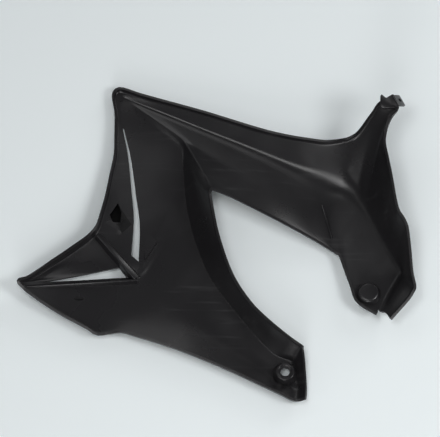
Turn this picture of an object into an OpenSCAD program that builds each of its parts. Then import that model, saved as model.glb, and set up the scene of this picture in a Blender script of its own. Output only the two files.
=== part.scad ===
// Side panel with an air scoop, moulded as one sheet for a motorcycle fairing.
// It is drawn with its inner side up. X runs along the panel, Y across it, and Z from
// the outer side to the inner side.

/* [Panel] */
// Length of the moulding along X
panel_length = 398; // [338:5:458]
// Width of the moulding along Y
panel_width = 340; // [290:5:390]
// Height of the walls and folds above the outer side
panel_depth = 60; // [50:1:72]
// Thickness of the moulded sheet
sheet = 2.5; // [2:0.1:3]

/* [Folds and lips] */
// Length of the bend on each side of the long fold, which is crisper below the right wall
fold_bend = 10; // [5:0.5:14]
// Length of the bend along the middle of the arm, which is crisper below the curved wall
foot_bend = 7; // [4:0.5:10]
// Length of the bend on each side of the strap's waist
strap_bend = 28; // [16:1:32]
// Length of the bend between the sheet and its lips
lip_bend = 1.5; // [1:0.25:3]
// Height of the lip round the outer edge
lip_height = 5; // [3:0.5:7]
// Height of the lip that closes the upper side of the scoop
scoop_lip = 10; // [7:0.5:13]
// Height of the lip along the lower edge of the arm
rim_lip = 3; // [2:0.5:5]

/* [Scoop] */
// Width of the curved slot at its lower end
slot_w = 7.5; // [5:0.5:9]
// Width of the vent slot at its inner end
vent_w = 10; // [7:0.5:12]
// Height of the ridge bar between the two slots
ridge_h = 7.5; // [5:0.5:9.5]
// Width of the ridge bar at its foot
ridge_w = 11; // [8:0.5:13]
// Height of the sill below the vent slot
sill_h = 6; // [4:0.5:8]
// Depth of the three-cornered pocket beside the curved slot
pocket_deep = 5.5; // [3:0.5:6]

/* [Fixing points] */
// Bore of the fixing hole in the leg
leg_hole_d = 9; // [6:0.5:11]
// Outer diameter of the raised seat round that hole
leg_seat_d = 26; // [22:1:30]
// Height of that seat above the sheet
leg_seat_h = 8; // [6:0.5:10]
// Diameter of the round boss on the foot
foot_boss_d = 25; // [20:1:28]
// Height of the round boss above the sheet
foot_boss_h = 7; // [4:0.5:9]
// Bore of the hole in the folded tab
tab_hole_d = 4.2; // [3:0.2:5]
// Length of the folded tab from its fold to its free edge
tab_length = 12; // [10:0.5:16]
// Width of the folded tab
tab_width = 13; // [9:0.5:14]
// Angle at which the tab folds down from the strap
tab_fold = 50; // [35:1:65]

/* [Hidden] */
bore_facets = 48;
drawn = [398, 340, 60];
scaling = [panel_length / drawn[0], panel_width / drawn[1], panel_depth / drawn[2]];

// The inner face is drawn through five lines. Each lists [station, x, y, z], and stations run
// from the end of the leg, round the nose and the crown and along the arm to the end of the foot.
last_station = 49;

// Foot of the outer lip: leg, nose, left edge, crown, top edge, strap, right edge, foot lip
edge_line = [
  [-1, 88, -176.4, 12], [0, 78.5, -177.5, 8], [1, 63, -170.6, 9], [3, 15, -147, 10], [5, -39, -124, 11.5],
  [6.5, -80, -110, 11.3], [7, -95, -105.6, 11], [7.5, -106.5, -106.9, 11], [8, -117.5, -108.4, 11],
  [8.5, -128, -102.2, 11.5], [10, -159, -84.6, 13], [12, -191, -61.4, 15], [13, -196.4, -55.2, 15],
  [14, -188.5, -52.8, 13], [15, -162, -34.4, 10], [16, -141, -19.4, 10.5], [17, -123, -4.6, 11.5],
  [17.6, -117, 5.8, 11.5], [18, -114, 16.8, 11.5], [19, -109, 36.8, 11], [20, -105, 59, 9.5],
  [21, -100, 91.6, 7], [22, -100, 126, 5], [23, -103, 148, 5], [23.6, -102, 153, 5], [24, -98, 156, 5],
  [25, -76, 148, 7], [27, -16, 128, 12], [29, 60, 101, 18], [30, 89, 94, 21], [31, 112, 89.5, 26],
  [32, 128, 90.2, 30], [33, 140, 94.4, 34], [34, 156, 111.4, 46], [35, 166, 120.8, 56], [36, 180, 115, 58],
  [37, 172, 105, 57], [38, 166.5, 82, 53], [39, 169.5, 63, 52], [40, 172.5, 47, 51], [42, 179.5, 9, 48],
  [43, 185, 0, 46], [44, 188.5, -8, 44], [44.5, 191, -29, 39.6], [45, 193, -51, 33.5], [46, 196, -65.5, 29],
  [47, 193.5, -71.5, 27], [49, 172.2, -96, 20],
];

// Middle of the outer facets, and the waist where the strap turns up
wall_line = [
  [-1, 88, -172, 12], [0, 78.5, -170, 5.5], [1, 60, -163, 6.3], [3, 12, -134, 7], [5, -36, -108, 8.2],
  [7, -82, -90, 8.5], [9, -112, -74, 9.5], [13, -138, -51, 11], [14, -136, -42, 9], [15, -128, -31, 8],
  [17, -104, -13, 10], [18, -98, 8, 10], [20, -94, 57, 8.5], [22, -97, 122, 5], [23, -99, 143, 5],
  [24, -95, 152, 5], [25, -74, 144, 6], [28, 22, 106, 9], [30, 90, 82, 12], [32, 131, 76.8, 17],
  [33, 142, 85, 26], [34, 153, 95, 37], [35, 158, 97, 44], [36, 163, 95, 49], [37, 164, 90, 48],
  [38, 162.5, 73, 42], [40, 166.5, 40, 34], [42, 174, 5, 29], [44, 182, -16, 25], [45, 188, -45, 20],
  [46, 186, -54, 19], [47, 181, -62, 18.5], [49, 168, -87, 15.5],
];

// The long fold: crease of the leg, hub of the scoop, slot side, valley of the arm, foot of the right wall
fold_line = [
  [-1, 87.7, -165, 12], [0, 79, -163, 3], [1, 52, -149, 3.2], [2, 31, -132, 3.6], [3, 10, -118, 4],
  [5, -29, -92, 5], [7, -55, -71, 6], [11, -73, -50, 8], [13, -75, -45, 9.5], [17, -77, -34, 11],
  [18, -76, -10, 10.3], [19, -77, 25, 9.3], [20, -81, 57, 8], [22, -92, 116, 5], [23, -95, 140, 4.5],
  [24, -91, 147, 4], [25, -70, 138, 4], [28, 24, 98, 3], [30, 91, 68, 3], [31, 110, 60.5, 3],
  [32, 127, 55, 3],
  [34, 141, 43, 3.5], [36, 146, 34, 4], [40, 157, 12, 5], [44, 174, -22, 7.5], [45, 184.5, -42, 9.5],
  [46, 180, -51, 10], [47, 175, -60, 10.5], [49, 162.5, -85, 12],
];

// Foot of the curved wall, then the middle of the lower facet and of the foot
foot_line = [
  [-1, 86, -140, 17], [0, 77, -136, 4], [1, 61, -130, 4], [3, 21, -85, 3.5], [5, -6, -46, 3.5],
  [7, -18, -17, 3.5], [9, -25, 6, 3.5], [13, -31, 37, 3.5], [17, -33, 61, 4], [21, -34, 84, 5],
  [23, -34, 95, 6], [24, -33, 100, 8.5], [25, -26, 96, 9.5], [26, -14, 86, 11], [28, 37, 58, 12.5],
  [30, 88, 32, 9.5], [32, 114, 17, 6], [36, 125, 0, 7], [40, 133, -16, 8.5], [45, 153, -50, 10.5],
  [46, 155, -58, 11], [49, 161, -82, 12],
];

// Inner edge: top of the curved wall, crotch, lower edge of the arm, left edge of the foot
rim_line = [
  [-1, 85, -127, 19], [0, 82.5, -125, 18.5], [1, 74, -120, 22], [3, 34, -85, 29], [5, 14, -53, 31],
  [7, 4, -25, 32], [9, -2, -2, 32], [13, -6, 21.5, 31], [17, -7.5, 32, 30], [19, -7.8, 35.3, 29.5],
  [21, -7, 38.2, 29], [23, -5, 40.2, 28.5], [24, -3, 40.4, 28], [25, 1.5, 39, 27.5], [26, 11, 35.2, 26.5],
  [28, 53, 14.8, 22], [30, 97, -7.4, 13.5], [32, 115.5, -17.6, 9.5], [33, 119.8, -20.6, 9.5],
  [34, 123.7, -23.6, 9.5], [35, 125.6, -28, 9.7], [38, 130.2, -42.6, 10.5], [42, 135.8, -60, 12],
  [43.5, 138, -68.6, 12.5], [44, 140, -72.8, 12.5], [46, 145.8, -79, 13], [49, 160, -87.6, 13],
];

// Height of the lip on the outer edge and on the inner edge, by station
edge_lip = [
  [-1, 1], [-0.4, 2], [0, lip_height], [7, lip_height - 1], [7.5, 2], [12, 2], [13, 4], [14, 0.7 * scoop_lip],
  [15, scoop_lip], [16, scoop_lip], [17, scoop_lip - 1], [18, lip_height + 1], [20, lip_height],
  [30, lip_height], [33, 3], [38, 2], [last_station, 2],
];
inner_lip = [[-1, 1], [0, 1.5], [18, 1.5], [24, rim_lip], [46, rim_lip], [last_station, 2]];
lip_lean = 0.12;

// Length of each bend, by station: crisp below the right wall and the curved wall
facet_bend = 12;
right_wall_crisp = 0.4;
curved_wall_crisp = 0.35;
foot_edge_crisp = 0.6;
fold_soft = [[34, fold_bend], [38, right_wall_crisp * fold_bend]];
foot_soft = [
  [21, curved_wall_crisp * foot_bend], [25, foot_bend], [34, foot_bend], [38, foot_edge_crisp * foot_bend],
];
strap_soft = [[30, facet_bend], [33, strap_bend], [38, strap_bend], [41, facet_bend]];

// Curved slot: its side next to the outer edge, from the upper tip down
slot_side = [[0, -94.9, 116.5, 0], [1, -89, 83, 0], [2, -85.4, 45, 0], [3, -83, 14, 0], [4, -85.4, -24.3, 0]];
slot_tip_w = 1.5;
slot_lean = 0.95;
// Vent slot: outer tip and upper corner
vent_tip = [-173.5, -54.3];
vent_corner = [-97.5, -37.1];
vent_lean = [0.8, -1.08];
vent_round = 2;

// Crests of the bars: two ends each, with the height of the sheet under each end
ridge_ends = [[-120, -5, 11.5], [-81.5, -52, 9.6]];
ridge_taper = [0.7, 1];
ridge_split = [0.27, 0.73];
sill_ends = [[-190, -60, 14], [-79, -52.5, 9]];
sill_taper = [0.3, 1];
sill_steep = 2;
sill_slant = 6;
step_ends = [[105.5, 31.6, 6.4], [115.5, -5.8, 8.3]];
step_foot = 2;
crest_w = 1.4;
step_h = 0.9;

// Corners and lowest point of the pocket, and corners of the wedge, at the height of the sheet
pocket = [[-98.5, 32, 10], [-110.5, 12, 11.1], [-95, -1, 10.2], [-85, 9, 9.9]];
pocket_low = [-101, 18, 10.4];
wedge_at = [[-73.5, 7.1, 9.6], [-71.5, -29.6, 10], [-59, -9.3, 7.7]];
wedge_rise = [-0.2, 0.9, 1.2];
wedge_root = 0.8;
mark_at = [-137, -71, 11.2];
mark_size = [5, 1.75, 1.5];
seat_dish = 1;
seat_taper = 8;
seat_rim = 2;
boss_taper = 5;
boss_shoulder = 2;
tab_hole_at = 0.6;

leg_seat_at = [68, -149, 4];
foot_boss_at = [151.5, -66.5, 11];
tip_plate_z = 57.5;
tip_plate = [
  [163.5, 117], [163.8, 127.8], [165.2, 129.7], [169, 126.2], [170, 125.9], [176, 129.7], [177.5, 129.2],
  [183, 117.5], [178, 109], [168, 109],
];
tab_at = [179.5, 123.3, tip_plate_z];
tab_turn = 28;

function unit(v) = v / norm(v);
function flat(v) = unit([v[0], v[1], 0]);
function placed(p) = [for (c = [0 : len(p) - 1]) p[c] * scaling[c]];

// A line's point at station u: smooth through the points listed, and never past them
function span_at(line, u, i = 0) = i >= len(line) - 2 || u < line[i + 1][0] ? i : span_at(line, u, i + 1);
function rise(line, i, c) = (line[i + 1][c] - line[i][c]) / (line[i + 1][0] - line[i][0]);
function mean_rise(a, b) = a * b <= 0 ? 0 : 2 * a * b / (a + b);
function slope(line, i, c) =
  i == 0 ? rise(line, 0, c)
  : i == len(line) - 1 ? rise(line, i - 1, c)
  : mean_rise(rise(line, i - 1, c), rise(line, i, c));
function ease(p, q, m, n, s) =
  (2 * s * s * s - 3 * s * s + 1) * p + (3 * s * s - 2 * s * s * s) * q
  + (s * s * s - 2 * s * s + s) * m + (s * s * s - s * s) * n;
function along(line, u) =
  let (i = span_at(line, u), h = line[i + 1][0] - line[i][0], s = (u - line[i][0]) / h)
  placed([for (c = [1:3])
    ease(line[i][c], line[i + 1][c], h * slope(line, i, c), h * slope(line, i + 1, c), s)]);

// Three points that round the corner b between a and c
function bend(a, b, c, r) =
  let (
    p = b + min(r, 0.45 * norm(a - b)) * unit(a - b),
    q = b + min(r, 0.45 * norm(c - b)) * unit(c - b)
  )
  [p, (p + 2 * b + q) / 4, q];

// One cross section of the inner face, from the top of the outer lip to the top of the inner lip
function section(u) =
  let (
    e = along(edge_line, u), w = along(wall_line, u), f = along(fold_line, u),
    b = along(foot_line, u), r = along(rim_line, u),
    e_lip = lookup(u, edge_lip), r_lip = lookup(u, inner_lip),
    first = e + lip_lean * e_lip * flat(e - w) + [0, 0, e_lip],
    last = r + lip_lean * r_lip * flat(r - b) + [0, 0, r_lip]
  )
  concat(
    [first], bend(first, e, w, lip_bend), bend(e, w, f, lookup(u, strap_soft)),
    bend(w, f, b, lookup(u, fold_soft)), [(f + b) / 2], bend(f, b, r, lookup(u, foot_soft)),
    [(b + r) / 2], bend(b, r, last, lip_bend), [last]
  );

end_wall_stations = [-1, -0.75, -0.5, -0.3, -0.15];
stations = concat(end_wall_stations, [for (u = [0 : 0.5 : last_station]) u]);
inner = [for (u = stations) section(u)];
rows = len(stations);
cols = len(inner[0]);

// The outer face lies one sheet thickness behind the inner face
function step_u(i, j) = inner[min(i + 1, rows - 1)][j] - inner[max(i - 1, 0)][j];
function step_v(i, j) = inner[i][min(j + 1, cols - 1)] - inner[i][max(j - 1, 0)];
outer = [for (i = [0 : rows - 1]) [for (j = [0 : cols - 1])
  inner[i][j] - sheet * unit(cross(step_v(i, j), step_u(i, j)))]];

skin_points = concat([for (s = inner) each s], [for (s = outer) each s]);
function front(i, j) = i * cols + j;
function back(i, j) = rows * cols + front(i, j);
function cell(a, b, c, d) = [[a, b, c], [a, c, d]];
skin_cells = concat(
  [for (i = [0 : rows - 2]) for (j = [0 : cols - 2])
    cell(front(i, j), front(i + 1, j), front(i + 1, j + 1), front(i, j + 1))],
  [for (i = [0 : rows - 2]) for (j = [0 : cols - 2])
    cell(back(i, j), back(i, j + 1), back(i + 1, j + 1), back(i + 1, j))],
  [for (i = [0 : rows - 2])
    cell(front(i, 0), back(i, 0), back(i + 1, 0), front(i + 1, 0))],
  [for (i = [0 : rows - 2])
    cell(front(i + 1, cols - 1), back(i + 1, cols - 1), back(i, cols - 1), front(i, cols - 1))],
  [for (j = [0 : cols - 2])
    cell(front(0, j + 1), back(0, j + 1), back(0, j), front(0, j))],
  [for (j = [0 : cols - 2])
    cell(front(rows - 1, j), back(rows - 1, j), back(rows - 1, j + 1), front(rows - 1, j + 1))]
);

// The frame's origin lies under the middle of the sheet, at its lowest point
xs = [for (p = skin_points) p[0]];
ys = [for (p = skin_points) p[1]];
zs = [for (p = skin_points) p[2]];
origin = [(min(xs) + max(xs)) / 2, (min(ys) + max(ys)) / 2, min(zs)];
above = max(zs) + lip_height;

module skin() {
  polyhedron(points = skin_points, faces = [for (pair = skin_cells) each pair], convexity = 10);
}

// A bar of triangular section along a crest, steep on its lower side and sloping away above it
module bar(ends, heights, steep, slant) {
  p = placed(ends[0]);
  q = placed(ends[1]);
  side = unit([q[1] - p[1], p[0] - q[0], 0]);
  taper = [heights[0] / max(heights), heights[1] / max(heights)];
  polyhedron(
    points = [for (k = [0, 1])
      let (at = k == 0 ? p : q, foot = at - [0, 0, sheet / 2], top = at + [0, 0, heights[k]])
      each [
        foot + steep * side, top + crest_w / 2 * side,
        top - crest_w / 2 * side, foot - slant * (1 + taper[k]) / 2 * side,
      ]],
    faces = [
      [3, 2, 1, 0], [4, 5, 6, 7], [0, 5, 4], [0, 1, 5], [1, 6, 5], [1, 2, 6],
      [2, 7, 6], [2, 3, 7], [3, 4, 7], [3, 0, 4],
    ]
  );
}

// A block between two copies of a ring of corners
module block(low, high) {
  n = len(low);
  polyhedron(
    points = concat(low, high),
    faces = concat(
      [for (k = [1 : n - 2]) [0, k, k + 1]],
      [for (k = [1 : n - 2]) [n, n + k + 1, n + k]],
      [for (k = [0 : n - 1]) [k, n + k, n + (k + 1) % n]],
      [for (k = [0 : n - 1]) [k, n + (k + 1) % n, (k + 1) % n]]
    )
  );
}

// A dent's floor falls from a ring of corners to one low point; its top is level with the ring
module dent(ring, low, down, up) {
  n = len(ring);
  polyhedron(
    points = concat([low - [0, 0, down]], [for (p = ring) p - [0, 0, down]], [for (p = ring) p + [0, 0, up]]),
    faces = concat(
      [for (k = [0 : n - 1]) [0, k + 1, (k + 1) % n + 1]],
      [for (k = [0 : n - 1]) [k + 1, k + 1 + n, (k + 1) % n + 1]],
      [for (k = [0 : n - 1]) [(k + 1) % n + 1, k + 1 + n, (k + 1) % n + 1 + n]],
      [for (k = [1 : n - 2]) [n + 1, n + 2 + k, n + 1 + k]]
    )
  );
}

pocket_ring = [for (p = pocket) placed(p)];
pocket_floor = placed(pocket_low) - [0, 0, pocket_deep];

module pocket_wall() {
  dent(pocket_ring, pocket_floor, sheet, -sheet / 4);
}

module pocket_cut() {
  dent(pocket_ring, pocket_floor, 0, above);
}

// A low wedge beside the curved slot, with its lower edge raised above the sheet
module wedge() {
  top = [for (k = [0 : len(wedge_at) - 1]) placed(wedge_at[k]) + [0, 0, wedge_rise[k]]];
  block([for (p = top) p - [0, 0, wedge_root * sheet]], top);
}

module curved_slot() {
  near = [for (k = [0 : 0.25 : 4]) along(slot_side, k)];
  wide = [for (k = [0 : 0.25 : 4]) slot_tip_w + (slot_w - slot_tip_w) * k / 4];
  far = [for (k = [len(near) - 1 : -1 : 0]) [near[k][0] + wide[k], near[k][1] - slot_lean * wide[k]]];
  linear_extrude(height = above)
    polygon(concat([for (p = near) [p[0], p[1]]], far));
}

module vent_slot() {
  tip = placed(vent_tip);
  upper = placed(vent_corner);
  lower = upper + vent_w * vent_lean;
  linear_extrude(height = above)
    polygon(concat([tip], bend(tip, upper, lower, vent_round), bend(upper, lower, tip, vent_round)));
}

// Raised seat for a screw or grommet, open behind so that its wall keeps the sheet's thickness
module leg_seat() {
  translate(placed(leg_seat_at) - [0, 0, sheet / 2])
    cylinder(d1 = leg_seat_d, d2 = leg_seat_d - seat_taper, h = leg_seat_h + sheet / 2, $fn = bore_facets);
}

module leg_bore() {
  at = placed(leg_seat_at);
  seat_top = at[2] + leg_seat_h;
  translate([at[0], at[1], -above / 2])
    cylinder(d = leg_hole_d, h = 2 * above, $fn = bore_facets);
  translate([at[0], at[1], seat_top - seat_dish])
    cylinder(d = leg_seat_d - seat_taper - 2 * seat_rim, h = above, $fn = bore_facets);
  hollow_d = leg_seat_d - 2 * sheet;
  translate([at[0], at[1], at[2] - sheet])
    cylinder(d1 = hollow_d, d2 = hollow_d - seat_taper, h = leg_seat_h - seat_dish, $fn = bore_facets);
  translate([at[0], at[1], at[2] - sheet - above])
    cylinder(d = hollow_d, h = above, $fn = bore_facets);
}

// Round boss: a tapered drum with a rolled shoulder
module foot_boss() {
  r = foot_boss_d / 2;
  top_r = r - boss_taper / 2;
  top = foot_boss_h + sheet / 2;
  translate(placed(foot_boss_at) - [0, 0, sheet / 2])
    rotate_extrude($fn = bore_facets)
      polygon(concat(
        [[0, 0], [r, 0]],
        [for (a = [0 : 30 : 90]) [top_r + boss_shoulder * (cos(a) - 1), top + boss_shoulder * (sin(a) - 1)]],
        [[0, top]]
      ));
}

module mark() {
  translate(placed(mark_at))
    scale(mark_size)
      sphere(r = 1, $fn = 24);
}

// End of the strap: a notched plate with a tab folded down from its outer side
module strap_tip() {
  translate([0, 0, placed(tab_at)[2]])
    linear_extrude(height = sheet)
      polygon([for (p = tip_plate) placed(p)]);
  translate(placed(tab_at) + [0, 0, sheet])
    rotate([0, tab_fold, tab_turn])
      difference() {
        translate([-1, -tab_width / 2, -sheet])
          cube([tab_length + 1, tab_width, sheet]);
        translate([tab_hole_at * tab_length, 0, -2 * sheet])
          cylinder(d = tab_hole_d, h = 3 * sheet, $fn = bore_facets);
      }
}

module scoop_panel() {
  color([0.12, 0.12, 0.13])
    translate(-origin)
      difference() {
        union() {
          skin();
          pocket_wall();
          wedge();
          bar(ridge_ends, ridge_h * ridge_taper, ridge_w * ridge_split[0], ridge_w * ridge_split[1]);
          bar(sill_ends, sill_h * sill_taper, sill_steep, sill_slant);
          bar(step_ends, [step_h, step_h], step_foot, step_foot);
          mark();
          leg_seat();
          foot_boss();
          strap_tip();
        }
        curved_slot();
        vent_slot();
        pocket_cut();
        leg_bore();
      }
}

scoop_panel();
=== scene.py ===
import bpy
import math
from mathutils import Matrix, Vector


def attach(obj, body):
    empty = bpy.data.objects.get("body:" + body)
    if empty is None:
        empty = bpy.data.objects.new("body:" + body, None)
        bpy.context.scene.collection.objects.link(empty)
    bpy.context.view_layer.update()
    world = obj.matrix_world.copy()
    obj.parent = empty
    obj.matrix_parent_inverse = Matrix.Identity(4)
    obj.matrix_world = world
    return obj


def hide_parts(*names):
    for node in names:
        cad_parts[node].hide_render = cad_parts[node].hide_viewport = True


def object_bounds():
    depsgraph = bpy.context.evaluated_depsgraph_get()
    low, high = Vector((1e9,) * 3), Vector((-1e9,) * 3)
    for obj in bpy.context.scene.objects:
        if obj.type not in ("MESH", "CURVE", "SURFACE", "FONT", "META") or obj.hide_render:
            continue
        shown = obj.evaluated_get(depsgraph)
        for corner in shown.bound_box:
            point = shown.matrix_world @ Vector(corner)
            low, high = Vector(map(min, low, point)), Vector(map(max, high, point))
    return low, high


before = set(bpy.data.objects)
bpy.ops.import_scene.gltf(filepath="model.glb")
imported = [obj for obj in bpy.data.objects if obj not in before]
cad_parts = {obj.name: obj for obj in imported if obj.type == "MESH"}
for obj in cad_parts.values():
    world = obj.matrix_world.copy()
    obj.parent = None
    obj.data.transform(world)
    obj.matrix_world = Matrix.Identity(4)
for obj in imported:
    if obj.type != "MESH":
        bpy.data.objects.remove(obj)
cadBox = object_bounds()
mm = 0.001

# Camera: the photograph looks down on the panel at 68 degrees through a long lens
cameraSetup = {
    "target": (0.0037, 0.022, 0.02), "elevation": 68.0, "distance": 6.5, "frameWidth": 0.44,
    "sensor": 36, "clipEnd": 50,
}


def makeCamera(setup):
    tilt = math.radians(setup["elevation"])
    data = bpy.data.cameras.new("photoCamera")
    data.sensor_width = setup["sensor"]
    data.lens = data.sensor_width * setup["distance"] / setup["frameWidth"]
    data.clip_end = setup["clipEnd"]
    camera = bpy.data.objects.new("photoCamera", data)
    bpy.context.scene.collection.objects.link(camera)
    away = Vector((0, -math.cos(tilt), math.sin(tilt)))
    camera.location = Vector(setup["target"]) + setup["distance"] * away
    camera.rotation_euler = (math.pi / 2 - tilt, 0, 0)
    bpy.context.scene.camera = camera


makeCamera(cameraSetup)
bpy.context.scene.view_settings.view_transform = "Standard"
print("camera ready")

# Floor and lights: pale ground and soft boxes, of which the strongest stand right, front and overhead
studio = {
    "floorColor": (0.895, 0.955, 0.97), "floorSize": 8.0, "floorRoughness": 0.6, "floorGlow": 0.065,
    "roomColor": (0.93, 0.97, 1.0), "roomStrength": 0.04,
    "boxDistance": 1.8, "boxSize": 0.58, "boxColor": (1.0, 1.0, 1.0),
}
softBoxes = {
    "boxRight": {"azimuth": 342, "elevation": 45, "level": 1.03},
    "boxFront": {"azimuth": 267, "elevation": 21, "level": 0.76},
    "boxFrontHigh": {"azimuth": 268, "elevation": 48, "level": 0.3},
    "boxOverhead": {"azimuth": 225, "elevation": 77, "level": 0.64},
    "boxFrontLeft": {"azimuth": 215, "elevation": 20, "level": 0.16},
    "boxBackRight": {"azimuth": 46, "elevation": 21, "level": 0.6},
    "boxBack": {"azimuth": 90, "elevation": 45, "level": 0.18},
    "boxBackLeft": {"azimuth": 145, "elevation": 40, "level": 0.12},
}


def makeFloor(values):
    bpy.ops.object.select_all(action="DESELECT")
    bpy.ops.mesh.primitive_plane_add(size=values["floorSize"], location=(0, 0, 0))
    floor = bpy.context.object
    floor.name = "studioFloor"
    material = bpy.data.materials.new("paleFloor")
    material.use_nodes = True
    shader = material.node_tree.nodes["Principled BSDF"]
    shader.inputs["Base Color"].default_value = (*values["floorColor"], 1)
    shader.inputs["Roughness"].default_value = values["floorRoughness"]
    shader.inputs["Emission Color"].default_value = (*values["floorColor"], 1)
    glow = material.node_tree.nodes.new("ShaderNodeMath")
    glow.operation = "MULTIPLY"
    glow.inputs[1].default_value = values["floorGlow"]
    seen = material.node_tree.nodes.new("ShaderNodeLightPath")
    material.node_tree.links.new(seen.outputs["Is Camera Ray"], glow.inputs[0])
    material.node_tree.links.new(glow.outputs["Value"], shader.inputs["Emission Strength"])
    floor.data.materials.append(material)


def makeSoftBox(name, box, values):
    data = bpy.data.lights.new(name, "AREA")
    data.shape = "SQUARE"
    data.size = values["boxSize"]
    data.color = values["boxColor"]
    data.energy = box["level"] * math.pi * values["boxDistance"] ** 2
    azimuth, elevation = math.radians(box["azimuth"]), math.radians(box["elevation"])
    level = math.cos(elevation)
    towards = Vector((level * math.cos(azimuth), level * math.sin(azimuth), math.sin(elevation)))
    lamp = bpy.data.objects.new(name, data)
    lamp.location = values["boxDistance"] * towards
    lamp.rotation_euler = towards.to_track_quat("Z", "Y").to_euler()
    bpy.context.scene.collection.objects.link(lamp)


def makeRoom(values):
    world = bpy.data.worlds.new("paleRoom")
    world.use_nodes = True
    background = world.node_tree.nodes["Background"]
    background.inputs["Color"].default_value = (*values["roomColor"], 1)
    background.inputs["Strength"].default_value = values["roomStrength"]
    bpy.context.scene.world = world


makeFloor(studio)
makeRoom(studio)
for name, box in softBoxes.items():
    makeSoftBox(name, box, studio)
print("studio ready")

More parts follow.
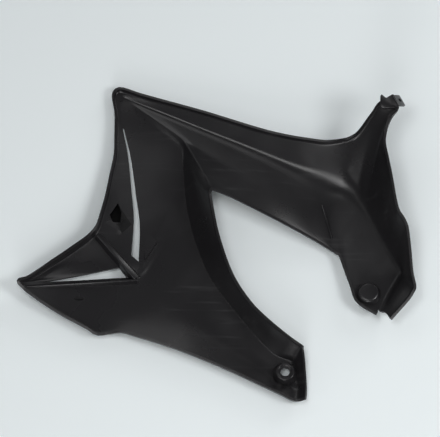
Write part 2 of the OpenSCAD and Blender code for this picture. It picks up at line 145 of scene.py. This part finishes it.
# The sheet: lines of the inner face, as (station, x, y, z) in millimetres, from the end of the leg
# round the nose and the crown and along the arm to the end of the foot; the lips are (station, height)
panelLines = {
    "edge": [
        (-1, 88, -176.4, 12), (0, 78.5, -177.5, 8), (1, 63, -170.6, 9), (3, 15, -147, 10),
        (5, -39, -124, 11.5), (6.5, -80, -110, 11.3), (7, -95, -105.6, 11), (7.5, -106.5, -106.9, 11),
        (8, -117.5, -108.4, 11), (8.5, -128, -102.2, 11.5), (10, -159, -84.6, 13), (12, -191, -61.4, 15),
        (13, -196.4, -55.2, 15), (14, -188.5, -52.8, 13), (15, -162, -34.4, 10), (16, -141, -19.4, 10.5),
        (17, -123, -4.6, 11.5), (17.6, -117, 5.8, 11.5), (18, -114, 16.8, 11.5), (19, -109, 36.8, 11),
        (20, -105, 59, 9.5), (21, -100, 91.6, 7), (22, -100, 126, 5), (23, -103, 148, 5),
        (23.6, -102, 153, 5), (24, -98, 156, 5), (25, -76, 148, 7), (27, -16, 128, 12), (29, 60, 101, 18),
        (30, 89, 94, 21), (31, 112, 90.5, 23.5), (32, 128, 91.2, 27.5), (33, 140, 94.4, 34),
        (34, 156, 110.8, 47.5), (35, 166, 120.8, 56), (36, 180, 115, 58), (37, 172, 105, 57),
        (38, 166.5, 82, 53),
        (39, 169.5, 63, 52), (40, 172.5, 47, 51), (42, 179.5, 9, 48), (43, 185, 0, 46), (44, 188.5, -8, 44),
        (44.5, 191, -29, 39.6), (45, 193, -51, 33.5), (46, 196, -65.5, 29), (47, 193.5, -71.5, 27),
        (49, 172.2, -96, 20),
    ],
    "wall": [
        (-1, 88, -172, 12), (0, 78.5, -170, 5.5), (1, 60, -163, 6.3), (3, 12, -134, 7), (5, -36, -108, 8.2),
        (7, -82, -90, 8.5), (9, -112, -74, 9.5), (13, -138, -51, 11), (14, -136, -42, 9.8),
        (15, -128, -31, 9.4), (17, -104, -13, 10.3), (18, -98, 8, 10), (20, -94, 57, 8.5), (22, -97, 122, 5),
        (23, -99, 143, 5), (24, -95, 152, 5), (25, -74, 144, 6), (28, 22, 106, 9), (30, 90, 82, 12),
        (32, 131, 76.8, 17), (33, 142, 85, 28.5), (34, 153, 95, 40.5), (35, 158, 97, 46), (36, 163, 95, 49),
        (37, 164, 90, 48), (38, 162.5, 73, 42), (40, 166.5, 40, 34), (42, 174, 5, 29), (44, 182, -16, 25),
        (45, 188, -45, 20), (46, 186, -54, 19), (47, 181, -62, 18.5), (49, 168, -87, 15.5),
    ],
    "fold": [
        (-1, 87.7, -165, 12), (0, 79, -163, 3), (1, 52, -149, 3.2), (2, 31, -132, 3.6), (3, 10, -118, 4),
        (5, -29, -92, 5), (7, -55, -71, 6), (11, -73, -50, 8), (13, -75, -45, 9.5), (17, -77, -34, 11),
        (18, -76, -10, 10.3), (19, -77, 25, 9.3), (20, -81, 57, 8), (22, -92, 116, 5), (23, -95, 140, 4.5),
        (24, -91, 147, 4), (25, -70, 138, 4), (28, 24, 98, 3), (30, 91, 68, 3), (31, 110, 60.5, 3),
        (32, 127, 55, 3), (34, 141, 43, 3.5), (36, 146, 34, 4), (40, 157, 12, 5), (44, 174, -22, 7.5),
        (45, 184.5, -42, 9.5),
        (46, 180, -51, 10), (47, 175, -60, 10.5), (49, 162.5, -85, 12),
    ],
    "foot": [
        (-1, 86, -139, 17), (0, 73.5, -134.5, 4), (1, 61, -130, 4), (3, 21, -85, 3.5), (5, -6, -46, 3.5),
        (7, -18, -17, 3.5), (9, -25, 6, 3.5), (13, -31, 37, 3.5), (17, -33, 61, 4), (21, -34, 84, 5),
        (23, -34, 95, 6), (24, -33, 100, 8.5), (25, -26, 96, 9.5), (26, -14, 86, 11), (28, 37, 58, 12.5),
        (30, 88, 32, 9.5), (32, 114, 17, 6), (36, 125, 0, 7), (40, 133, -16, 8.5), (45, 153, -50, 10.5),
        (46, 155, -58, 11), (49, 161, -82, 12),
    ],
    "rim": [
        (-1, 85, -127, 19), (0, 82.5, -125, 18.5), (1, 74, -120, 22), (3, 34, -85, 29), (5, 14, -53, 31),
        (7, 4, -25, 32), (9, -2, -2, 32), (13, -6, 21.5, 31), (17, -7.5, 32, 30), (19, -7.8, 35.3, 29.5),
        (21, -7, 38.2, 29), (23, -5, 40.2, 28.5), (24, -3, 40.4, 28), (25, 1.5, 39, 27.5),
        (26, 11, 35.2, 26.5), (28, 53, 14.8, 22), (30, 97, -7.4, 13.5), (32, 115.5, -17.6, 9.5),
        (33, 119.8, -20.6, 9.5), (34, 123.7, -23.6, 9.5), (35, 125.6, -28, 9.7), (38, 130.2, -42.6, 10.5),
        (42, 135.8, -60, 12), (43.5, 138, -68.6, 12.5), (44, 140, -72.8, 12.5), (46, 145.8, -79, 13),
        (49, 160, -87.6, 13),
    ],
    "edgeLip": [
        (-1, 1), (-0.4, 2), (0, 5), (7, 4), (7.5, 2), (12, 2), (13, 4), (14, 7), (15, 10), (16, 10), (17, 9),
        (18, 6), (20, 5), (30, 5), (33, 3), (38, 2), (49, 2),
    ],
    "rimLip": [(-1, 1), (0, 1.5), (18, 1.5), (24, 3), (46, 3), (49, 2)],
}
panelShape = {
    "sheet": 2.5, "lipBend": 1.5, "lipLean": 0.12,
    "foldBends": ((27, 10), (30, 15), (32, 13), (34, 10), (38, 4)),
    "footBends": ((19, 0.35), (25, 7), (34, 7), (38, 4.2)),
    "strapBends": ((30, 12), (33, 28), (38, 28), (41, 12)),
    "stationSteps": 5, "bendSteps": 5, "facetSteps": 6, "lastStation": 49, "edgeRound": 0.6, "edgeAngle": 60,
    "relaxStations": (30.5, 41), "relaxColumns": (12, 23), "relaxRounds": 40,
    "dents": ((121, 50, 17, 7, -0.8),),
}
# A bend takes up at most this share of the run on either side
bendShare = 0.45


def riseAt(line, i, c):
    return (line[i + 1][c] - line[i][c]) / (line[i + 1][0] - line[i][0])


def slopeAt(line, i, c):
    if i == 0:
        return riseAt(line, 0, c)
    if i == len(line) - 1:
        return riseAt(line, i - 1, c)
    before, after = riseAt(line, i - 1, c), riseAt(line, i, c)
    return 0 if before * after <= 0 else 2 * before * after / (before + after)


def pointAlong(line, u):
    i = 0
    while i < len(line) - 2 and u >= line[i + 1][0]:
        i += 1
    h = line[i + 1][0] - line[i][0]
    s = (u - line[i][0]) / h
    point = []
    for c in (1, 2, 3):
        p, q = line[i][c], line[i + 1][c]
        m, n = h * slopeAt(line, i, c), h * slopeAt(line, i + 1, c)
        ends = (2 * s**3 - 3 * s**2 + 1) * p + (3 * s**2 - 2 * s**3) * q
        point.append(ends + (s**3 - 2 * s**2 + s) * m + (s**3 - s**2) * n)
    return Vector(point)


def valueAlong(line, u):
    for (a, p), (b, q) in zip(line, line[1:]):
        if u <= b:
            return p + (q - p) * max(0, (u - a) / (b - a))
    return line[-1][1]


def bendPoints(a, b, c, reach, steps):
    p = b + min(reach, bendShare * (a - b).length) * (a - b).normalized()
    q = b + min(reach, bendShare * (c - b).length) * (c - b).normalized()
    parts = [k / steps for k in range(steps + 1)]
    return [(1 - t) ** 2 * p + 2 * t * (1 - t) * b + t * t * q for t in parts]


def between(p, q, steps):
    return [p + (q - p) * k / steps for k in range(1, steps)]


def sectionPoints(u, lines, shape):
    e, w, f, b, r = [pointAlong(lines[name], u) for name in ("edge", "wall", "fold", "foot", "rim")]
    edgeLip, rimLip = valueAlong(lines["edgeLip"], u), valueAlong(lines["rimLip"], u)
    outward = Vector((e.x - w.x, e.y - w.y, 0)).normalized()
    inward = Vector((r.x - b.x, r.y - b.y, 0)).normalized()
    first = e + shape["lipLean"] * edgeLip * outward + Vector((0, 0, edgeLip))
    last = r + shape["lipLean"] * rimLip * inward + Vector((0, 0, rimLip))
    steps, facet = shape["bendSteps"], shape["facetSteps"]
    strapBend, foldBend = valueAlong(shape["strapBends"], u), valueAlong(shape["foldBends"], u)
    footBend = valueAlong(shape["footBends"], u)
    runs = [
        [first], bendPoints(first, e, w, shape["lipBend"], steps), bendPoints(e, w, f, strapBend, steps),
        bendPoints(w, f, b, foldBend, steps), [(f + b) / 2], bendPoints(f, b, r, footBend, steps),
        bendPoints(b, r, last, shape["lipBend"], steps), [last],
    ]
    points = []
    for run in runs:
        if points and (run[0] - points[-1]).length > 0:
            points += between(points[-1], run[0], facet)
        points += run
    return points


def relaxRows(rows, stations, shape):
    start, end = shape["relaxStations"]
    band = [i for i, u in enumerate(stations) if start < u < end]
    first, last = shape["relaxColumns"]
    for _ in range(shape["relaxRounds"]):
        before = [list(row) for row in rows]
        for i in band:
            for j in range(first, last + 1):
                around = before[i - 1][j] + before[i + 1][j] + before[i][j - 1] + before[i][j + 1]
                rows[i][j] = before[i][j] / 2 + around / 8


def dentRows(rows, dents):
    for x, y, wide, high, rise in dents:
        for row in rows:
            for point in row:
                point.z += rise * math.exp(-((point.x - x) / wide) ** 2 - ((point.y - y) / high) ** 2)


def activate(piece):
    bpy.ops.object.select_all(action="DESELECT")
    piece.select_set(True)
    bpy.context.view_layer.objects.active = piece


def applyModifier(piece, kind, **settings):
    activate(piece)
    modifier = piece.modifiers.new(kind.title(), kind)
    for key, value in settings.items():
        setattr(modifier, key, value)
    bpy.ops.object.modifier_apply(modifier=modifier.name)


def roundEdges(piece, width, segments, angle):
    applyModifier(
        piece, "BEVEL", width=width * mm, segments=segments, limit_method="ANGLE",
        angle_limit=math.radians(angle))


def makeSheet(lines, shape):
    steps = shape["stationSteps"]
    stations = [k / (2 * steps) for k in range(-2 * steps, 0)]
    stations += [k / steps for k in range(0, shape["lastStation"] * steps + 1)]
    rows = [sectionPoints(u, lines, shape) for u in stations]
    relaxRows(rows, stations, shape)
    dentRows(rows, shape["dents"])
    columns = len(rows[0])
    bpy.ops.object.select_all(action="DESELECT")
    bpy.ops.mesh.primitive_grid_add(x_subdivisions=columns - 1, y_subdivisions=len(rows) - 1, size=1)
    sheet = bpy.context.object
    sheet.name = "scoopPanel"
    sheet.data.vertices.foreach_set("co", [c * mm for row in rows for point in row for c in point])
    sheet.data.update()
    applyModifier(sheet, "SOLIDIFY", thickness=shape["sheet"] * mm, offset=-1, use_even_offset=False)
    roundEdges(sheet, shape["edgeRound"], 2, shape["edgeAngle"])
    print("sheet", len(rows), "sections of", columns, "points")
    return sheet


panel = makeSheet(panelLines, panelShape)
lows = [min(v.co[c] for v in panel.data.vertices) for c in range(3)]
highs = [max(v.co[c] for v in panel.data.vertices) for c in range(3)]
home = Vector(((lows[0] + highs[0]) / 2, (lows[1] + highs[1]) / 2, lows[2]))
print("drawn at", [round(c / mm, 3) for c in home])


def selectFaces(piece, test):
    bpy.ops.object.mode_set(mode="EDIT")
    bpy.ops.mesh.select_mode(type="FACE")
    bpy.ops.mesh.select_all(action="DESELECT")
    bpy.ops.object.mode_set(mode="OBJECT")
    for face in piece.data.polygons:
        face.select = test(face)
    bpy.ops.object.mode_set(mode="EDIT")


def closeEdit():
    bpy.ops.mesh.select_all(action="SELECT")
    bpy.ops.mesh.normals_make_consistent(inside=False)
    bpy.ops.object.mode_set(mode="OBJECT")


def addPlate(name, ring, height, low=None):
    bpy.ops.object.select_all(action="DESELECT")
    fill, radius = "TRIFAN" if low else "NGON", 1
    bpy.ops.mesh.primitive_circle_add(vertices=len(ring), radius=radius, fill_type=fill)
    plate = bpy.context.object
    plate.name = name
    centre = [v.index for v in plate.data.vertices if v.co.length < radius / 2]
    outline = [v.index for v in plate.data.vertices if v.co.length > radius / 2]
    for index, point in zip(outline + centre, list(ring) + [low]):
        plate.data.vertices[index].co = Vector(point) * mm
    plate.data.update()
    bpy.ops.object.mode_set(mode="EDIT")
    bpy.ops.mesh.select_all(action="SELECT")
    bpy.ops.mesh.extrude_region_move(TRANSFORM_OT_translate={"value": (0, 0, height * mm)})
    closeEdit()
    return plate


def combine(piece, other, operation):
    applyModifier(piece, "BOOLEAN", operation=operation, object=other, solver="MANIFOLD")
    bpy.data.objects.remove(other, do_unlink=True)


# Bars: the ridge between the slots, the sill under the vent and the step on the foot
bars = {
    "ridgeBar": {
        "ends": ((-120, -5, 11.5), (-81.5, -52, 9.6)), "heights": (5.25, 7.5), "steep": 2.97, "slant": 8.03,
        "crest": 0.7, "facet": (4.6, 2.2), "soft": 0.6, "softAngle": 40},
    "sillBar": {
        "ends": ((-190, -60, 14), (-79, -52.5, 9)), "heights": (1.8, 6), "steep": 2, "slant": 6,
        "crest": 0.7, "facet": (0.7, 0), "soft": 0.6, "softAngle": 40},
    "stepBar": {
        "ends": ((105.5, 31.6, 6.4), (115.5, -5.8, 8.3)), "heights": (0.9, 0.9), "steep": 2, "slant": 2,
        "crest": 0.7, "facet": (0.7, 0), "soft": 0.4, "softAngle": 40},
}


def makeBar(name, values, sheet):
    p, q = [Vector(end) for end in values["ends"]]
    side = Vector((q.y - p.y, p.x - q.x, 0)).normalized()
    bpy.ops.object.select_all(action="DESELECT")
    bpy.ops.mesh.primitive_cube_add(size=1)
    bar = bpy.context.object
    bar.name = name
    for vertex in bar.data.vertices:
        k = 0 if vertex.co.x < 0 else 1
        at, height = (p, q)[k], values["heights"][k]
        taper = (1 + height / max(values["heights"])) / 2
        if vertex.co.y > 0:
            foot, reach, drop = values["steep"], values["crest"], 0
        else:
            across, drop = values["facet"]
            foot, reach, drop = -values["slant"] * taper, -across * taper, drop * taper
        if vertex.co.z > 0:
            place = at + reach * side + Vector((0, 0, height - drop))
        else:
            place = at + foot * side - Vector((0, 0, sheet / 2))
        vertex.co = place * mm
    selectFaces(bar, lambda face: True)
    closeEdit()
    roundEdges(bar, values["soft"], 3, values["softAngle"])
    return bar


for name, values in bars.items():
    combine(panel, makeBar(name, values, panelShape["sheet"]), "UNION")
print("bars", len(panel.data.polygons))

# Leg seat: a raised ring with a bore, open behind; the cutters reach past it above and below
legSeat = {
    "at": (68, -149, 4), "across": 26, "taper": 8, "height": 8, "bore": 9, "dish": 1, "rim": 2,
    "soft": 0.6, "softAngle": 40, "past": 9, "below": 30, "backInto": 0.9, "boreEnds": (-30, 60),
}
drumFacets = 64


def addDrum(name, at, low, high, lowAcross, highAcross, facets=drumFacets):
    bpy.ops.object.select_all(action="DESELECT")
    bpy.ops.mesh.primitive_cone_add(
        vertices=facets, radius1=lowAcross / 2 * mm, radius2=highAcross / 2 * mm, depth=(high - low) * mm)
    drum = bpy.context.object
    drum.name = name
    for vertex in drum.data.vertices:
        vertex.co += Vector((at[0], at[1], (low + high) / 2)) * mm
    return drum


def makeLegSeat(piece, values, sheet):
    x, y, z = values["at"]
    top, across = z + values["height"], values["across"] - values["taper"]
    seat = addDrum("legSeat", (x, y), z - sheet / 2, top, values["across"], across)
    wide = across - 2 * values["rim"]
    dish = addDrum("seatDish", (x, y), top - values["dish"], top + values["past"], wide, wide)
    combine(seat, dish, "DIFFERENCE")
    roundEdges(seat, values["soft"], 3, values["softAngle"])
    combine(piece, seat, "UNION")
    hollow = values["across"] - 2 * sheet
    back = addDrum("seatBack", (x, y), z - sheet, top - values["dish"] - sheet, hollow, across - 2 * sheet)
    low, high = z - values["below"], z - values["backInto"] * sheet
    combine(back, addDrum("seatBelow", (x, y), low, high, hollow, hollow), "UNION")
    combine(piece, back, "DIFFERENCE")
    bore = addDrum("seatBore", (x, y), *values["boreEnds"], values["bore"], values["bore"])
    combine(piece, bore, "DIFFERENCE")


makeLegSeat(panel, legSeat, panelShape["sheet"])
print("leg seat", len(panel.data.polygons))

# Foot boss: a tapered drum with a rolled shoulder
footBoss = {
    "at": (151.5, -66.5, 11), "across": 25, "height": 7, "taper": 5, "shoulder": 2, "shoulderSteps": 5,
    "topNormal": 0.9,
}


def makeFootBoss(piece, values, sheet):
    x, y, z = values["at"]
    across = values["across"]
    boss = addDrum("footBoss", (x, y), z - sheet / 2, z + values["height"], across, across - values["taper"])
    selectFaces(boss, lambda face: face.normal.z > values["topNormal"])
    bpy.ops.mesh.bevel(offset=values["shoulder"] * mm, segments=values["shoulderSteps"], affect="EDGES")
    closeEdit()
    combine(piece, boss, "UNION")


makeFootBoss(panel, footBoss, panelShape["sheet"])
print("foot boss", len(panel.data.polygons))

# Strap end: a notched plate with a tab folded down from its outer side
strapEnd = {
    "ring": (
        (163.5, 117), (163.8, 127.8), (165.2, 129.7), (169, 126.2), (170, 125.9), (176, 129.7),
        (177.5, 129.2), (183, 117.5), (181.5, 114.5), (165.5, 114.5)),
    "height": 57.5, "soft": 0.4, "softAngle": 30,
    "tabAt": (179.5, 123.3), "tabLength": 12, "tabWidth": 13, "tabRoot": 1, "tabFold": 50, "tabTurn": 28,
    "hole": 4.2, "holeAt": 0.6, "holeFacets": 32,
}


def makeStrapEnd(piece, values, sheet):
    z = values["height"]
    ring = [(x, y, z) for x, y in values["ring"]]
    plate = addPlate("strapPlate", ring[::-1], sheet)
    roundEdges(plate, values["soft"], 2, values["softAngle"])
    combine(piece, plate, "UNION")
    length, width = values["tabLength"], values["tabWidth"]
    bpy.ops.object.select_all(action="DESELECT")
    bpy.ops.mesh.primitive_cube_add(size=1)
    tab = bpy.context.object
    tab.name = "strapTab"
    for vertex in tab.data.vertices:
        along = length if vertex.co.x > 0 else -values["tabRoot"]
        vertex.co = Vector((along, vertex.co.y * width, 0 if vertex.co.z > 0 else -sheet)) * mm
    roundEdges(tab, values["soft"], 2, values["softAngle"])
    at, across, facets = (values["holeAt"] * length, 0), values["hole"], values["holeFacets"]
    combine(tab, addDrum("tabHole", at, -2 * sheet, sheet, across, across, facets), "DIFFERENCE")
    place = Matrix.Translation(Vector((*values["tabAt"], z + sheet)) * mm)
    turn = Matrix.Rotation(math.radians(values["tabTurn"]), 4, "Z")
    fold = Matrix.Rotation(math.radians(values["tabFold"]), 4, "Y")
    tab.data.transform(place @ (turn @ fold))
    combine(piece, tab, "UNION")


makeStrapEnd(panel, strapEnd, panelShape["sheet"])
print("strap end", len(panel.data.polygons))

# Openings: the curved slot and the vent slot go right through, the pocket and its steep core do not
openings = {
    "slotSide": (
        (0, -94.9, 116.5, 0), (1, -89, 83, 0), (2, -85.4, 45, 0), (3, -83, 14, 0), (4, -85.4, -24.3, 0)),
    "slotTip": 1.5, "slotWidth": 7.5, "slotLean": -0.95, "slotSteps": 32,
    "ventTip": (-173.5, -54.3, 0), "ventCorner": (-97.5, -37.1, 0), "ventSide": (8, -10.8, 0),
    "ventRound": 2, "ventSteps": 6,
    "pocket": ((-98.5, 32, 10), (-110.5, 12, 11.1), (-95, -1, 10.2), (-85, 9, 9.9)),
    "pocketLow": (-101, 18, 10.4), "pocketDeep": 5.5, "pocketInto": 0.9, "above": 60,
    "core": ((-99, 32.1), (-107, 19.1), (-104, 12.4), (-96.5, 12.9), (-95.5, 22.7)),
    "coreFloor": 4.2, "coreBack": (2.6, 8.5), "coreWall": 1.25,
}
# Painted shade for the hollows: faces of the pocket's steep core, the pocket floor and the dimple's floor
# are painted near black; how dark each gets, and the slack for finding them
paintedShadeMarks = {
    "coreGrown": 1.06, "coreShade": 0.85, "coreSlack": 0.1, "pocketShade": 0.45, "pocketBelow": 0.3,
    "dimpleShare": 0.9, "dimpleBelow": 0.15, "dimpleShade": 0.6, "flatNormal": 0.1,
}


def grownRing(ring, scale, z):
    x, y = [sum(point[c] for point in ring) / len(ring) for c in range(2)]
    return [(x + scale * (point[0] - x), y + scale * (point[1] - y), z) for point in ring]


def cutOpenings(piece, values, sheet):
    side, steps = values["slotSide"], values["slotSteps"]
    near = [pointAlong(side, side[-1][0] * k / steps) for k in range(steps + 1)]
    far = []
    for k, point in enumerate(near):
        wide = values["slotTip"] + (values["slotWidth"] - values["slotTip"]) * k / steps
        far.append(point + Vector((wide, values["slotLean"] * wide, 0)))
    combine(piece, addPlate("curvedSlot", near + far[::-1], values["above"]), "DIFFERENCE")
    tip, upper = Vector(values["ventTip"]), Vector(values["ventCorner"])
    lower, reach, steps = upper + Vector(values["ventSide"]), values["ventRound"], values["ventSteps"]
    ring = [tip] + bendPoints(tip, upper, lower, reach, steps) + bendPoints(upper, lower, tip, reach, steps)
    combine(piece, addPlate("ventSlot", ring, values["above"]), "DIFFERENCE")
    low, high = values["coreBack"]
    ring = grownRing(values["core"], values["coreWall"], low)
    combine(piece, addPlate("coreWall", ring, high - low), "UNION")
    ring = [Vector(point) for point in values["pocket"]]
    low, down = Vector(values["pocketLow"]) - Vector((0, 0, values["pocketDeep"])), Vector((0, 0, sheet))
    below, into = [point - down for point in ring], values["pocketInto"] * sheet
    combine(piece, addPlate("pocketWall", below, into, low - down), "UNION")
    combine(piece, addPlate("pocket", ring, values["above"], low), "DIFFERENCE")
    core = grownRing(values["core"], 1, values["coreFloor"])
    combine(piece, addPlate("pocketCore", core, values["above"]), "DIFFERENCE")


def isInside(x, y, ring):
    sides = zip(ring, ring[1:] + ring[:1])
    turns = [(q[0] - p[0]) * (y - p[1]) - (q[1] - p[1]) * (x - p[0]) for p, q in sides]
    return min(turns) > 0 or max(turns) < 0


# Paints shade into the hollows: faces of the pocket's steep core, the pocket floor and the dimple's floor
# get a value that the material turns near black
def paintShadeInHollows(piece, values, forms, marks, offset):
    paintedShade = piece.data.attributes.new("paintedShade", "FLOAT", "FACE")
    core = grownRing(values["core"], marks["coreGrown"], 0)
    floor, slack = values["coreFloor"], marks["coreSlack"]
    top = min(point[2] for point in values["pocket"]) - marks["pocketBelow"]
    dimple, size = forms["dimple"], forms["dimpleSize"]
    for face in piece.data.polygons:
        x, y, z = (face.center + offset) / mm
        upright, up = abs(face.normal.z) < marks["flatNormal"], face.normal.z > marks["flatNormal"]
        if isInside(x, y, core) and z > floor - slack and (upright or up and z < floor + slack):
            paintedShade.data[face.index].value = marks["coreShade"]
        elif isInside(x, y, values["pocket"]) and up and z < top:
            paintedShade.data[face.index].value = marks["pocketShade"]
        across, along = (x - dimple[0]) / size[0], (y - dimple[1]) / size[1]
        within = across ** 2 + along ** 2 < marks["dimpleShare"]
        if up and within and z < dimple[2] - marks["dimpleBelow"]:
            paintedShade.data[face.index].value = marks["dimpleShade"]


cutOpenings(panel, openings, panelShape["sheet"])
print("openings", len(panel.data.polygons))

# Small forms: a low wedge with a groove beside the curved slot, and an oval dimple near the nose
smallForms = {
    "wedge": ((-73.5, 7.1, 9.4), (-71.5, -29.6, 10.9), (-59, -9.3, 8.9)), "wedgeRoot": 2,
    "groove": ((-72.3, -30.6, 9.1), (-70.7, -31.5, 9.1), (-57.6, -9.7, 7.1), (-59.2, -8.6, 7.1)),
    "grooveCut": 20, "dimple": (-137, -71, 11.4), "dimpleSize": (5.5, 2.2, 1.3), "dimpleFacets": (32, 16),
}


def makeSmallForms(piece, values):
    root = values["wedgeRoot"]
    ring = [Vector(point) - Vector((0, 0, root)) for point in values["wedge"]]
    combine(piece, addPlate("wedge", ring, root), "UNION")
    ring = [Vector(point) for point in values["groove"]]
    combine(piece, addPlate("wedgeGroove", ring, values["grooveCut"]), "DIFFERENCE")
    around, rings = values["dimpleFacets"]
    bpy.ops.object.select_all(action="DESELECT")
    bpy.ops.mesh.primitive_uv_sphere_add(segments=around, ring_count=rings, radius=mm)
    dimple = bpy.context.object
    dimple.name = "dimple"
    place = Matrix.Translation(Vector(values["dimple"]) * mm)
    dimple.data.transform(place @ Matrix.Diagonal((*values["dimpleSize"], 1)))
    combine(piece, dimple, "DIFFERENCE")


makeSmallForms(panel, smallForms)
print("small forms", len(panel.data.polygons))

# The panel moves from where it is drawn to the frame's place and keeps inside the box of the solids
finishing = {"joinWithin": 0.00001, "smoothAngle": 35}


def settle(piece, offset, box, values):
    for vertex in piece.data.vertices:
        vertex.co = [min(max(c - d, low), high) for c, d, low, high in zip(vertex.co, offset, *box)]
    piece.data.update()
    activate(piece)
    bpy.ops.object.mode_set(mode="EDIT")
    bpy.ops.mesh.select_all(action="SELECT")
    bpy.ops.mesh.remove_doubles(threshold=values["joinWithin"])
    bpy.ops.mesh.dissolve_degenerate(threshold=values["joinWithin"])
    bpy.ops.object.mode_set(mode="OBJECT")
    bpy.ops.object.shade_smooth_by_angle(angle=math.radians(values["smoothAngle"]))


settle(panel, home, cadBox, finishing)
paintShadeInHollows(panel, openings, smallForms, paintedShadeMarks, home)
print("recess marked")

# Black satin plastic: fine moulded grain, slow waves in the gloss, wiping marks, a little dust, and painted
# shade that turns the hollows near black
plastic = {
    "baseColor": (0.0145, 0.0139, 0.0153), "dustColor": (0.042, 0.042, 0.044),
    "paintedShadeColor": (0.0015, 0.0015, 0.0016),
    "roughness": 0.29, "roughSpread": 0.07, "roughPatch": (0.3, 0.7), "paintedShadeRoughness": 0.75,
    "grainScale": 1500, "grainDetail": 2, "grainHeight": 0.000008,
    "waveScale": 34, "waveDetail": 1, "waveHeight": 0.00011,
    "dustScale": 11, "dustDetail": 5, "dustStart": 0.5, "dustEnd": 0.85, "dustAmount": 0.45,
    "scuffScale": (14, 190, 60), "scuffTurn": -22, "scuffDetail": 5, "scuffStart": 0.6, "scuffEnd": 0.78,
    "scuffPatch": (0.35, 0.6), "scuffAmount": 0.6, "scuffRoughness": 0.1,
}


def addNode(tree, kind, **settings):
    node = tree.nodes.new(kind)
    for key, value in settings.items():
        if key in node.inputs:
            node.inputs[key].default_value = value
        else:
            setattr(node, key, value)
    return node


def addNoise(tree, vector, scale, detail):
    noise = addNode(tree, "ShaderNodeTexNoise", Scale=scale, Detail=detail)
    tree.links.new(vector, noise.inputs["Vector"])
    return noise.outputs["Fac"]


def addRange(tree, value, start, end, low, high):
    span = tree.nodes.new("ShaderNodeMapRange")
    for socket, number in zip(("From Min", "From Max", "To Min", "To Max"), (start, end, low, high)):
        span.inputs[socket].default_value = number
    tree.links.new(value, span.inputs["Value"])
    return span.outputs["Result"]


def addMath(tree, operation, first, second):
    node = addNode(tree, "ShaderNodeMath", operation=operation)
    for socket, value in zip(node.inputs, (first, second)):
        if isinstance(value, (int, float)):
            socket.default_value = value
        else:
            tree.links.new(value, socket)
    return node.outputs["Value"]


def mixColors(tree, mask, first, second):
    node = addNode(tree, "ShaderNodeMix", data_type="RGBA")
    tree.links.new(mask, node.inputs[0])
    for socket, value in ((node.inputs[6], first), (node.inputs[7], second)):
        if isinstance(value, tuple):
            socket.default_value = (*value, 1)
        else:
            tree.links.new(value, socket)
    return node.outputs[2]


def addBump(tree, height, distance, normal=None):
    bump = addNode(tree, "ShaderNodeBump", Strength=1.0, Distance=distance)
    tree.links.new(height, bump.inputs["Height"])
    if normal:
        tree.links.new(normal, bump.inputs["Normal"])
    return bump.outputs["Normal"]


def makePlastic(values):
    material = bpy.data.materials.new("blackPlastic")
    material.use_nodes = True
    tree = material.node_tree
    shader = tree.nodes["Principled BSDF"]
    place = tree.nodes.new("ShaderNodeTexCoord").outputs["Object"]
    turned = tree.nodes.new("ShaderNodeMapping")
    turned.inputs["Rotation"].default_value = (0, 0, math.radians(values["scuffTurn"]))
    turned.inputs["Scale"].default_value = values["scuffScale"]
    tree.links.new(place, turned.inputs["Vector"])
    grain = addNoise(tree, place, values["grainScale"], values["grainDetail"])
    wave = addNoise(tree, place, values["waveScale"], values["waveDetail"])
    patch = addNoise(tree, place, values["dustScale"], values["dustDetail"])
    streak = addNoise(tree, turned.outputs["Vector"], 1, values["scuffDetail"])
    dust = addRange(tree, patch, values["dustStart"], values["dustEnd"], 0, values["dustAmount"])
    scuff = addRange(tree, streak, values["scuffStart"], values["scuffEnd"], 0, 1)
    scuff = addMath(tree, "MULTIPLY", scuff, addRange(tree, patch, *values["scuffPatch"], 0, 1))
    # Painted shade: the face attribute read here mixes the colour to near black, turns metallic up and
    # raises roughness in the pocket's core, the pocket floor and the dimple
    paintedShade = addNode(tree, "ShaderNodeAttribute", attribute_name="paintedShade").outputs["Fac"]
    marks = addMath(tree, "ADD", dust, addMath(tree, "MULTIPLY", scuff, values["scuffAmount"]))
    color = mixColors(tree, marks, values["baseColor"], values["dustColor"])
    tree.links.new(mixColors(tree, paintedShade, color, values["paintedShadeColor"]), shader.inputs["Base Color"])
    middle, half = values["roughness"], values["roughSpread"] / 2
    rough = addRange(tree, patch, *values["roughPatch"], middle - half, middle + half)
    rough = addMath(tree, "ADD", rough, addMath(tree, "MULTIPLY", scuff, values["scuffRoughness"]))
    tree.links.new(paintedShade, shader.inputs["Metallic"])
    gap = values["paintedShadeRoughness"] - values["roughness"]
    rough = addMath(tree, "ADD", rough, addMath(tree, "MULTIPLY", paintedShade, gap))
    tree.links.new(rough, shader.inputs["Roughness"])
    normal = addBump(tree, wave, values["waveHeight"])
    tree.links.new(addBump(tree, grain, values["grainHeight"], normal), shader.inputs["Normal"])
    return material


panel.data.materials.clear()
panel.data.materials.append(makePlastic(plastic))
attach(panel, "root")
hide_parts("scoop_panel")
print("panel ready", len(panel.data.polygons), "faces")
